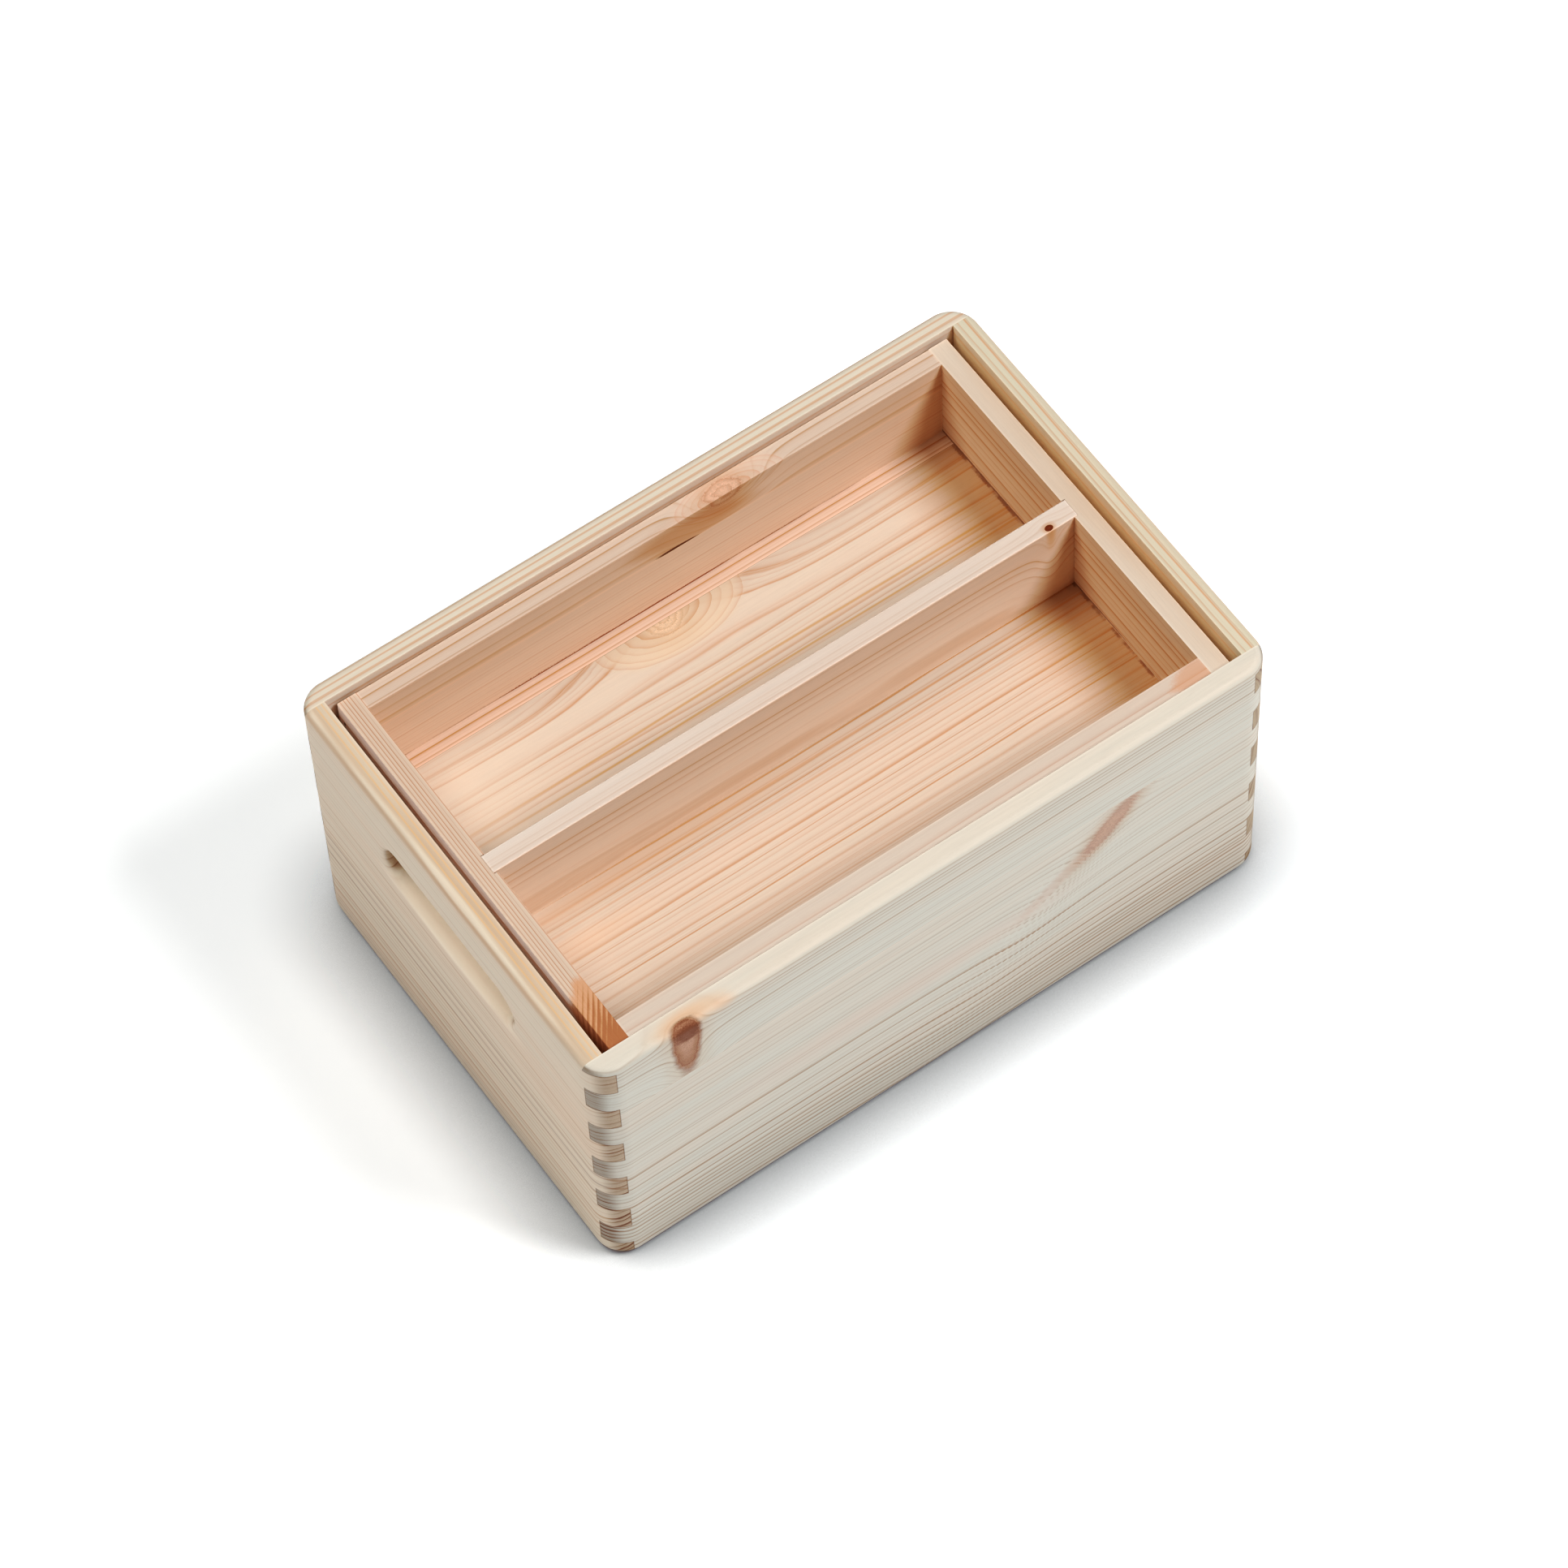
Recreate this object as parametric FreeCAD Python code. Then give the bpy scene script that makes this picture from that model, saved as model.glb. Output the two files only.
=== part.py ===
"""Wooden toy crate with a lift-out two-compartment tray.

Frame: +X along the long side, +Y towards the back wall, +Z up, origin at the
centre of the underside.  All lengths in millimetres.
"""
import FreeCAD, Part
import os

from FreeCAD import Vector

# ---- crate ----
LENGTH = 300.0
WIDTH = 198.0
HEIGHT = 142.0
WALL = 9.0
CORNER_R = 12.0
RIM_R = 3.0
BASE_R = 5.0

# ---- finger joints of the crate corners ----
TOP_STRIP = 3.0
FINGER = 12.9
FINGER_COUNT = 10

# ---- glue lines between edge-joined staves ----
FRONT_GLUE_Z = 109.0
TRAY_SIDE_GLUE_Z = 122.5
TRAY_FLOOR_GLUE_Y = 73.0

# ---- hand-holds in the two ends ----
SLOT_LENGTH = 83.0
SLOT_HEIGHT = 19.0
SLOT_Z = 105.5
SLOT_OUTER_R = 3.5
SLOT_INNER_R = 2.0

# ---- bottom panel housed in stopped grooves ----
PANEL_T = 5.0
GROOVE_Z = 7.0
GROOVE_H = 5.2
GROOVE_DEPTH = 4.5
PANEL_GAP = 0.3

# ---- ledges that carry the tray ----
LEDGE_W = 8.0
LEDGE_H = 10.0
LEDGE_LENGTH = 270.0
LEDGE_EASE = 1.0

# ---- tray ----
TRAY_LENGTH = 274.0
TRAY_WIDTH = 177.0
TRAY_HEIGHT = 50.0
TRAY_RECESS = 3.5
TRAY_WALL = 8.4
TRAY_FLOOR = 5.0
TRAY_EASE = 0.5

# ---- divider ----
DIVIDER_T = 8.4
DADO_DEPTH = 1.5
DADO_SIDE_GAP = 0.08
DADO_END_GAP = 0.08
DADO_FRONT_SLACK = 0.5
DIVIDER_EASE = 0.5

# ---- rectangular-shank brads ----
BRAD_W = 1.4
BRAD_T = 1.1
HEAD_W = 2.2
HEAD_T = 0.8
LEDGE_BRAD = 15.0
LEDGE_BRAD_X = (-100.0, 0.0, 100.0)
CORNER_BRAD = 24.0
CORNER_BRAD_RISE = (8.0, 21.0, 36.5)
FLOOR_BRAD = 18.0
FLOOR_BRAD_X = (-100.0, -50.0, 0.0, 50.0, 100.0)
FLOOR_BRAD_Y = (-45.0, 45.0)

TRAY_TOP = HEIGHT - TRAY_RECESS
TRAY_BASE = TRAY_TOP - TRAY_HEIGHT
TRAY_FLOOR_TOP = TRAY_BASE + TRAY_FLOOR
OVER = 20.0

XP = Vector(1, 0, 0)
YP = Vector(0, 1, 0)
ZP = Vector(0, 0, 1)


def box(x0, x1, y0, y1, z0, z1):
    """Box between opposite corners."""
    return Part.makeBox(x1 - x0, y1 - y0, z1 - z0, Vector(x0, y0, z0))


def centred(length, width, z0, z1):
    """Box centred on the Z axis."""
    return box(-length / 2, length / 2, -width / 2, width / 2, z0, z1)


def edges_where(shape, test):
    """Edges whose midpoint and direction pass a test."""
    found = []
    for edge in shape.Edges:
        mid = edge.valueAt((edge.FirstParameter + edge.LastParameter) / 2)
        run = edge.Vertexes[-1].Point.sub(edge.Vertexes[0].Point)
        if test(edge, mid, run):
            found.append(edge)
    return found


def along(run, axis):
    """True when a vector runs along an axis."""
    return run.Length > 0 and abs(run.dot(axis)) > 0.999 * run.Length


def at(value, target):
    """True when two lengths agree."""
    return abs(value - target) < 1e-4


def eased(board, radius, test):
    """Board with the arrises that pass a test rounded."""
    return board.makeFillet(radius, edges_where(board, test))


# ---------------------------------------------------------------- crate walls
def crate_ring():
    """Four walls as one ring, rounded outside, before they are parted."""
    outer = centred(LENGTH, WIDTH, 0, HEIGHT)
    outer = eased(outer, CORNER_R, lambda edge, mid, run: along(run, ZP))
    outer = eased(outer, RIM_R, lambda edge, mid, run: at(mid.z, HEIGHT))
    outer = eased(outer, BASE_R, lambda edge, mid, run: at(mid.z, 0))
    inner_l = LENGTH - 2 * WALL
    inner_w = WIDTH - 2 * WALL
    ring = outer.cut(centred(inner_l, inner_w, -OVER, HEIGHT + OVER))
    groove = centred(inner_l + 2 * GROOVE_DEPTH, inner_w + 2 * GROOVE_DEPTH,
                     GROOVE_Z, GROOVE_Z + GROOVE_H)
    return ring.cut(groove)


def finger_levels():
    """Height bands of the corner fingers that belong to the end walls."""
    bands = []
    top = HEIGHT - TOP_STRIP
    for index in range(0, FINGER_COUNT + 1, 2):
        z1 = top - index * FINGER
        z0 = z1 - FINGER if index < FINGER_COUNT else -OVER
        bands.append((z0, z1))
    return bands


def finger_blocks(sides):
    """Corner squares of the end-wall fingers at the given ends of the crate."""
    blocks = []
    for z0, z1 in finger_levels():
        for sx in sides:
            for sy in (-1, 1):
                x = sorted((sx * (LENGTH / 2 + OVER), sx * (LENGTH / 2 - WALL)))
                y = sorted((sy * (WIDTH / 2 + OVER), sy * (WIDTH / 2 - WALL)))
                blocks.append(box(x[0], x[1], y[0], y[1], z0, z1))
    return blocks


def long_wall(ring, side, z_low, z_high):
    """Front (side -1) or back (side +1) wall between two heights."""
    y = sorted((side * (WIDTH / 2 + OVER), side * (WIDTH / 2 - WALL)))
    slab = box(-LENGTH, LENGTH, y[0], y[1], z_low, z_high)
    wall = ring.common(slab)
    return wall.cut(finger_blocks((-1, 1)))


def end_wall(ring, side):
    """Left (side -1) or right (side +1) wall with its hand-hold."""
    x = sorted((side * (LENGTH / 2 + OVER), side * (LENGTH / 2 - WALL)))
    half = WIDTH / 2 - WALL
    slab = box(x[0], x[1], -half, half, -OVER, HEIGHT + OVER)
    wall = ring.common(slab.multiFuse(finger_blocks((side,))).removeSplitter())
    wall = wall.cut(slot_cutter(side))
    return rounded_slot(wall, side)


def slot_cutter(side):
    """Obround prism through an end wall."""
    x0 = side * LENGTH / 2 - OVER
    half = (SLOT_LENGTH - SLOT_HEIGHT) / 2
    r = SLOT_HEIGHT / 2
    bar = box(x0, x0 + 2 * OVER, -half, half, SLOT_Z - r, SLOT_Z + r)
    caps = [Part.makeCylinder(r, 2 * OVER, Vector(x0, y, SLOT_Z), XP) for y in (-half, half)]
    return bar.multiFuse(caps).removeSplitter()


def rounded_slot(wall, side):
    """Round both mouths of the hand-hold."""
    for x, radius in ((side * LENGTH / 2, SLOT_OUTER_R),
                      (side * (LENGTH / 2 - WALL), SLOT_INNER_R)):
        def mouth(edge, mid, run):
            near = abs(mid.z - SLOT_Z) <= SLOT_HEIGHT / 2 + 0.1
            return at(mid.x, x) and near and abs(mid.y) <= SLOT_LENGTH / 2 + 0.1
        wall = eased(wall, radius, mouth)
    return wall


def bottom_panel():
    """Thin panel floating in the wall grooves."""
    reach = 2 * (GROOVE_DEPTH - PANEL_GAP)
    return centred(LENGTH - 2 * WALL + reach, WIDTH - 2 * WALL + reach,
                   GROOVE_Z, GROOVE_Z + PANEL_T)


# --------------------------------------------------------------------- brads
def brad(point, direction, length):
    """Brad with a flat head; point is the centre of the head's outer face."""
    across = YP if abs(direction.dot(YP)) < 0.5 else XP
    shank = Part.makeBox(BRAD_W, BRAD_T, length, Vector(-BRAD_W / 2, -BRAD_T / 2, 0))
    head = Part.makeBox(HEAD_W, BRAD_T, HEAD_T, Vector(-HEAD_W / 2, -BRAD_T / 2, 0))
    nail = shank.fuse(head).removeSplitter()
    turn = FreeCAD.Rotation(direction.cross(across), across, direction, "ZXY")
    nail.Placement = FreeCAD.Placement(point, turn)
    return nail


def ledge_brads():
    """Brads that pin the two ledges to the long walls."""
    face = WIDTH / 2 - WALL - LEDGE_W
    z = TRAY_BASE - LEDGE_H / 2
    nails = []
    for side in (-1, 1):
        for x in LEDGE_BRAD_X:
            nails.append(brad(Vector(x, side * face, z), Vector(0, side, 0), LEDGE_BRAD))
    return nails


def corner_brads():
    """Brads driven through the tray ends into the end grain of its sides."""
    y = (TRAY_WIDTH - TRAY_WALL) / 2
    nails = []
    for sx in (-1, 1):
        for sy in (-1, 1):
            for rise in CORNER_BRAD_RISE:
                start = Vector(sx * TRAY_LENGTH / 2, sy * y, TRAY_FLOOR_TOP + rise)
                nails.append(brad(start, Vector(-sx, 0, 0), CORNER_BRAD))
    return nails


def floor_brads():
    """Brads driven up through the tray floor into its four walls."""
    y = (TRAY_WIDTH - TRAY_WALL) / 2
    x = (TRAY_LENGTH - TRAY_WALL) / 2
    spots = [(px, sy * y) for sy in (-1, 1) for px in FLOOR_BRAD_X]
    spots += [(sx * x, py) for sx in (-1, 1) for py in FLOOR_BRAD_Y]
    return [brad(Vector(px, py, TRAY_BASE), ZP, FLOOR_BRAD) for px, py in spots]


# --------------------------------------------------------------------- ledges
def ledge(side):
    """Cleat along a long wall, its lower inner arris eased."""
    outer = side * (WIDTH / 2 - WALL)
    inner = side * (WIDTH / 2 - WALL - LEDGE_W)
    y = sorted((outer, inner))
    z0 = TRAY_BASE - LEDGE_H
    bar = box(-LEDGE_LENGTH / 2, LEDGE_LENGTH / 2, y[0], y[1], z0, TRAY_BASE)

    def lower_arris(edge, mid, run):
        return along(run, XP) and at(mid.y, inner) and at(mid.z, z0)
    return eased(bar, LEDGE_EASE, lower_arris)


# ----------------------------------------------------------------------- tray
def tray_end(side):
    """Tray end wall over the full width, with the housing for the divider."""
    outer = side * TRAY_LENGTH / 2
    inner = side * (TRAY_LENGTH / 2 - TRAY_WALL)
    x = sorted((outer, inner))
    board = box(x[0], x[1], -TRAY_WIDTH / 2, TRAY_WIDTH / 2, TRAY_FLOOR_TOP, TRAY_TOP)

    def outer_arris(edge, mid, run):
        return at(mid.x, outer) and not at(mid.z, TRAY_FLOOR_TOP)
    board = eased(board, TRAY_EASE, outer_arris)
    half = DIVIDER_T / 2 + DADO_SIDE_GAP
    # the left housing is cut a little too wide, towards the front
    front = -half - DADO_FRONT_SLACK if side < 0 else -half
    reach = sorted((inner - side * OVER, inner + side * DADO_DEPTH))
    housing = box(reach[0], reach[1], front, half, TRAY_FLOOR_TOP - OVER, TRAY_TOP + OVER)
    return board.cut(housing)


def tray_side(side, z_low, z_high):
    """Tray long side, butted between the ends."""
    reach = TRAY_LENGTH / 2 - TRAY_WALL
    outer = side * TRAY_WIDTH / 2
    y = sorted((outer, side * (TRAY_WIDTH / 2 - TRAY_WALL)))
    board = box(-reach, reach, y[0], y[1], z_low, z_high)

    def top_outer(edge, mid, run):
        return along(run, XP) and at(mid.y, outer) and at(mid.z, TRAY_TOP)
    if at(z_high, TRAY_TOP):
        board = eased(board, TRAY_EASE, top_outer)
    return board


def tray_floor(y_low, y_high):
    """One stave of the tray floor."""
    return box(-TRAY_LENGTH / 2, TRAY_LENGTH / 2, y_low, y_high, TRAY_BASE, TRAY_FLOOR_TOP)


def divider():
    """Board dropped into the housings of the tray ends."""
    half = TRAY_LENGTH / 2 - TRAY_WALL + DADO_DEPTH - DADO_END_GAP
    board = box(-half, half, -DIVIDER_T / 2, DIVIDER_T / 2, TRAY_FLOOR_TOP, TRAY_TOP)

    def top_arris(edge, mid, run):
        return along(run, XP) and at(mid.z, TRAY_TOP)
    return eased(board, DIVIDER_EASE, top_arris)


# ------------------------------------------------------------------- assembly
def build():
    ring = crate_ring()
    ledge_nails = ledge_brads()
    corner_nails = corner_brads()
    floor_nails = floor_brads()
    half_w = TRAY_WIDTH / 2
    parts = {
        "front_wall_upper_stave": long_wall(ring, -1, FRONT_GLUE_Z, HEIGHT + OVER),
        "front_wall_lower_stave": long_wall(ring, -1, -OVER, FRONT_GLUE_Z),
        "back_wall": long_wall(ring, 1, -OVER, HEIGHT + OVER),
        "left_end": end_wall(ring, -1),
        "right_end": end_wall(ring, 1),
        "bottom_panel": bottom_panel(),
        "front_ledge": ledge(-1),
        "back_ledge": ledge(1),
        "tray_left_end": tray_end(-1),
        "tray_right_end": tray_end(1),
        "tray_front_side": tray_side(-1, TRAY_FLOOR_TOP, TRAY_TOP),
        "tray_back_side_upper_stave": tray_side(1, TRAY_SIDE_GLUE_Z, TRAY_TOP),
        "tray_back_side_lower_stave": tray_side(1, TRAY_FLOOR_TOP, TRAY_SIDE_GLUE_Z),
        "tray_floor_main_stave": tray_floor(-half_w, TRAY_FLOOR_GLUE_Y),
        "tray_floor_back_stave": tray_floor(TRAY_FLOOR_GLUE_Y, half_w),
        "divider": divider(),
    }
    nailed = (
        (ledge_nails, ("front_wall_lower_stave", "back_wall", "front_ledge", "back_ledge")),
        (corner_nails, ("tray_left_end", "tray_right_end", "tray_front_side",
                        "tray_back_side_upper_stave", "tray_back_side_lower_stave")),
        (floor_nails, ("tray_left_end", "tray_right_end", "tray_front_side",
                       "tray_back_side_lower_stave", "tray_floor_main_stave",
                       "tray_floor_back_stave")),
    )
    for nails, boards in nailed:
        for name in boards:
            parts[name] = parts[name].cut(nails)
    parts["ledge_brads"] = Part.makeCompound(ledge_nails)
    parts["tray_corner_brads"] = Part.makeCompound(corner_nails)
    parts["tray_floor_brads"] = Part.makeCompound(floor_nails)
    return parts


os.makedirs("parts", exist_ok=True)
for node, shape in build().items():
    shape.exportStep("parts/" + node + ".step")
    print(node, len(shape.Solids), round(shape.Volume, 1), shape.isValid())
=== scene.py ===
"""Looks of the finger-jointed pine crate with its lift-out tray and divider.

Every piece is a CAD node with a procedural material. Wood is one solid texture: growth rings round a pith
line that runs along the board's grain, so face lines, edge lines and end grain belong together.
"""

import math

import bpy
from mathutils import Matrix, Vector


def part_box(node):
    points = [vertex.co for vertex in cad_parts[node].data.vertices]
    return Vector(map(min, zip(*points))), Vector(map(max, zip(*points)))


MM = 0.001
X, Y, Z = 0, 1, 2


def srgb(red, green, blue):
    """Display colour, 0 to 255, as linear RGBA."""
    shares = [c / 255 for c in (red, green, blue)]
    return tuple(c / 12.92 if c <= 0.04045 else ((c + 0.055) / 1.055) ** 2.4 for c in shares) + (1.0,)


# --- writing materials -------------------------------------------------------------------------------------


class Value:
    """A number inside a material. Arithmetic on it writes math nodes."""

    def __init__(self, graph, socket):
        self.graph = graph
        self.socket = socket

    def __add__(self, other):
        return self.graph.math("ADD", self, other)

    def __sub__(self, other):
        return self.graph.math("SUBTRACT", self, other)

    def __rsub__(self, other):
        return self.graph.math("SUBTRACT", other, self)

    def __mul__(self, other):
        return self.graph.math("MULTIPLY", self, other)

    def __truediv__(self, other):
        return self.graph.math("DIVIDE", self, other)

    def __pow__(self, other):
        return self.graph.math("POWER", self, other)

    def __abs__(self):
        return self.graph.math("ABSOLUTE", self)

    __radd__ = __add__
    __rmul__ = __mul__

    def function(self, name):
        return self.graph.math(name, self)


class Graph:
    """The node tree of one material. Arguments are numbers, tuples, sockets or Values."""

    def __init__(self, name):
        self.material = bpy.data.materials.new(name)
        self.material.use_nodes = True
        self.tree = self.material.node_tree
        self.tree.nodes.clear()

    def plug(self, value, socket):
        if isinstance(value, Value):
            value = value.socket
        if isinstance(value, bpy.types.NodeSocket):
            self.tree.links.new(value, socket)
        elif socket.type == "VECTOR":
            socket.default_value = value[:3]
        else:
            socket.default_value = value

    def node(self, kind, inputs, **settings):
        made = self.tree.nodes.new(kind)
        for key, value in settings.items():
            setattr(made, key, value)
        for key, value in inputs.items():
            self.plug(value, made.inputs[key])
        return made

    def math(self, operation, *terms):
        made = self.node("ShaderNodeMath", dict(enumerate(terms)), operation=operation)
        return Value(self, made.outputs[0])

    def vector_math(self, operation, *terms):
        made = self.node("ShaderNodeVectorMath", dict(enumerate(terms)), operation=operation)
        return made.outputs["Vector"]

    def length(self, vector):
        made = self.node("ShaderNodeVectorMath", {0: vector}, operation="LENGTH")
        return Value(self, made.outputs["Value"])

    def split(self, vector):
        made = self.node("ShaderNodeSeparateXYZ", {"Vector": vector})
        return [Value(self, out) for out in made.outputs]

    def turned(self, vector, axis, degrees):
        inputs = {"Vector": vector, "Angle": math.radians(degrees)}
        return self.node("ShaderNodeVectorRotate", inputs, rotation_type=axis + "_AXIS").outputs[0]

    def noise(self, vector, scale, detail=2.0, roughness=0.5):
        """Noise about 0, from about -0.5 to 0.5."""
        inputs = {"Vector": vector, "Scale": scale, "Detail": detail, "Roughness": roughness}
        return Value(self, self.node("ShaderNodeTexNoise", inputs).outputs["Fac"]) - 0.5

    def noise_along(self, value, scale, detail=1.0):
        """Noise about 0 of one number."""
        inputs = {"W": value, "Scale": scale, "Detail": detail}
        made = self.node("ShaderNodeTexNoise", inputs, noise_dimensions="1D")
        return Value(self, made.outputs["Fac"]) - 0.5

    def dice(self, value):
        """A random number from 0 to 1 for each different value."""
        made = self.node("ShaderNodeTexWhiteNoise", {"W": value}, noise_dimensions="1D")
        return Value(self, made.outputs["Value"])

    def smooth(self, value, low, high):
        """0 at low, 1 at high, with a soft step between."""
        inputs = {"Value": value, "From Min": low, "From Max": high}
        made = self.node("ShaderNodeMapRange", inputs, interpolation_type="SMOOTHSTEP")
        return Value(self, made.outputs["Result"])

    def mix(self, share, first, second, blend="MIX"):
        made = self.node("ShaderNodeMix", {}, data_type="RGBA", blend_type=blend, clamp_factor=True)
        self.plug(share, made.inputs["Factor"])
        self.plug(first, made.inputs[6])
        self.plug(second, made.inputs[7])
        return made.outputs[2]

    def scaled(self, colour, value):
        """The colour, times a number."""
        made = self.node("ShaderNodeVectorMath", {0: colour}, operation="SCALE")
        self.plug(value, made.inputs["Scale"])
        return made.outputs["Vector"]

    def finish(self, colour, roughness, height, bump_mm, specular=0.35, metallic=0.0):
        inputs = {"Height": height, "Distance": bump_mm * MM, "Strength": 1.0}
        bump = self.node("ShaderNodeBump", inputs)
        shader = self.tree.nodes.new("ShaderNodeBsdfPrincipled")
        shader.inputs["Specular IOR Level"].default_value = specular
        shader.inputs["Metallic"].default_value = metallic
        self.plug(colour, shader.inputs["Base Color"])
        self.plug(roughness, shader.inputs["Roughness"])
        self.plug(bump.outputs["Normal"], shader.inputs["Normal"])
        output = self.tree.nodes.new("ShaderNodeOutputMaterial")
        self.plug(shader.outputs["BSDF"], output.inputs["Surface"])
        return self.material


# --- wood --------------------------------------------------------------------------------------------------


class Spot:
    """A soft-edged ellipsoid of another tint, such as a stain, a resin streak, part of a knot, a patch of
    painted light and a patch of painted shade.

    share is how strongly it covers, rough how uneven its edge is, and hatch breaks the edge into strokes.
    """

    def __init__(self, centre, radii, tint, share=0.6, turn=0.0, about="Y", soft=0.6, rough=0.6, hatch=0.0):
        self.centre = centre
        self.radii = radii
        self.tint = tint
        self.share = share
        self.turn = turn
        self.about = about
        self.soft = soft
        self.rough = rough
        self.hatch = hatch

    def distance(self, g, place, grow=1.0):
        """1 on the spot's edge, 0 at its centre."""
        away = g.vector_math("SUBTRACT", place, self.centre)
        if self.turn:
            away = g.turned(away, self.about, self.turn)
        near = g.length(g.vector_math("DIVIDE", away, tuple(r * grow for r in self.radii)))
        if self.hatch:
            near = near + ((g.split(away)[X] * 0.55).function("FRACT") - 0.5) * self.hatch
        return near

    def inside(self, g, near):
        """1 inside the soft edge, 0 outside it."""
        return g.smooth(near, 1.0 + self.soft * 0.5, 1.0 - self.soft * 0.5)

    def paint(self, g, place, colour, wood):
        near = self.distance(g, place) + (wood.ripple + wood.grit * 0.4) * self.rough
        return g.mix(self.inside(g, near) * self.share, colour, self.tint)


class Knot(Spot):
    """A branch cut through by the saw: its own rings and bark, with the board's grain flowing round it.

    reach is how far the grain is pushed aside, and swell and spread how high and wide it rises round it.
    """

    def __init__(self, centre, radii, core, edge, reach=1.8, swell=0.0, halo=srgb(236, 190, 140),
                 halo_share=0.6, rings=3.0, bark=0.5, spread=None, **spot):
        super().__init__(centre, radii, core, **{"share": 1.0, "soft": 0.12, "rough": 0.25, **spot})
        self.edge = edge
        self.reach = reach
        self.swell = swell
        self.halo = halo
        self.halo_share = halo_share
        self.rings = rings
        self.bark = bark
        self.spread = spread

    def bend(self, g, place):
        """The point of straight-grained wood whose ring shows here: rings are pushed off the knot."""
        near = self.distance(g, place, self.reach)
        square = near * near
        away = g.vector_math("SUBTRACT", place, self.centre)
        return g.vector_math("ADD", g.scaled(away, square / (square + 1.0)), self.centre)

    def rise(self, g, place):
        """How far the rings rise round the knot, in millimetres."""
        near = g.length(g.vector_math("DIVIDE", g.vector_math("SUBTRACT", place, self.centre), self.spread))
        return (near * near * -1.0).function("EXPONENT") * self.swell

    def paint(self, g, place, colour, wood):
        near = self.distance(g, place) + (wood.ripple * 0.8 + wood.grit * 0.3) * self.rough
        ring = (near * self.rings).function("FRACT")
        dark = g.smooth(ring, 0.35, 1.0) * 0.5 + g.smooth(near, 0.7, 1.0) * self.bark
        body = g.scaled(g.mix(dark, self.tint, self.edge), wood.grit * 0.9 + wood.fibre * 0.3 + 1.0)
        glow = g.smooth(near, 2.3, 0.9) * self.halo_share
        colour = g.mix(glow, colour, g.mix(1.0, colour, self.halo, "MULTIPLY"))
        return g.mix(self.inside(g, near) * self.share, colour, body)


class Eddy(Spot):
    """Growth lines that close round a knot, on plain wood of the given tint."""

    def __init__(self, centre, radii, tint, line_tint, count=6.0, line_share=0.6, **spot):
        super().__init__(centre, radii, tint, **{"share": 0.9, "soft": 0.3, "rough": 0.3, **spot})
        self.line_tint = line_tint
        self.count = count
        self.line_share = line_share

    def paint(self, g, place, colour, wood):
        colour = super().paint(g, place, colour, wood)
        near = self.distance(g, place) + wood.drift * self.rough + wood.ripple * 0.08
        turns = near * self.count
        turns = turns + g.noise_along(turns, 0.6) * 1.1
        line = turns.function("FRACT") ** 3.0 * g.smooth(near, 1.05, 1.0)
        line = line * (g.dice(turns.function("FLOOR")) * 0.5 + 0.5) * (1.3 - near * 0.6)
        return g.mix(line * self.line_share, colour, self.line_tint)


class Seam:
    """A thin line at a place on one axis: a joint with another board, torn fibres or a strong growth line.

    ragged and wave make it uneven, patchy breaks it up, and above keeps it over a height.
    """

    def __init__(self, axis, at, width, tint, share=0.6, ragged=0.0, wave=0.0, patchy=False, sharp=0.4,
                 above=None):
        self.axis = axis
        self.at = at
        self.width = width
        self.tint = tint
        self.share = share
        self.ragged = ragged
        self.wave = wave
        self.patchy = patchy
        self.sharp = sharp
        self.above = above

    def paint(self, g, place, colour, wood):
        away = wood.axes[self.axis] - self.at
        if self.wave:
            away = away + wood.drift * self.wave
        away = abs(away)
        if self.ragged:
            away = away + (wood.fibre + wood.grit) * self.ragged
        line = g.smooth(away, self.width, self.width * self.sharp) * self.share
        if self.patchy:
            line = line * g.smooth(wood.ripple, -0.14, 0.06)
        if self.above:
            line = line * g.smooth(wood.axes[Z], self.above - 0.5, self.above + 0.5)
        return g.mix(line, colour, self.tint)


class FingerJoints:
    """Hairlines round the crate's corner fingers, where long-wall and end-wall fingers meet."""

    def __init__(self, tint, share=0.5):
        self.tint = tint
        self.share = share

    def paint(self, g, place, colour, wood):
        x, y, z = wood.axes
        level = (FINGER_TOP - z) / FINGER
        part = level.function("FRACT")
        flat = g.math("MINIMUM", part, 1.0 - part) * FINGER
        odd = (level * 0.5).function("FRACT")
        in_x = g.smooth(abs(x), INNER_X - HAIR, INNER_X)
        in_y = g.smooth(abs(y), INNER_Y - HAIR, INNER_Y)
        lines = g.smooth(flat, HAIR * 1.4, HAIR * 0.5) * in_x * in_y
        upright_x = g.smooth(abs(abs(x) - INNER_X), HAIR, HAIR * 0.4) * in_y * g.smooth(odd, 0.51, 0.49)
        upright_y = g.smooth(abs(abs(y) - INNER_Y), HAIR, HAIR * 0.4) * in_x * g.smooth(odd, 0.49, 0.51)
        lines = g.math("MAXIMUM", lines, g.math("MAXIMUM", upright_x, upright_y))
        lines = lines * g.smooth(z, FINGER_TOP + 1.0, FINGER_TOP + 0.5) * (wood.fibre + 1.0)
        return g.mix(lines * self.share, colour, self.tint)


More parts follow.
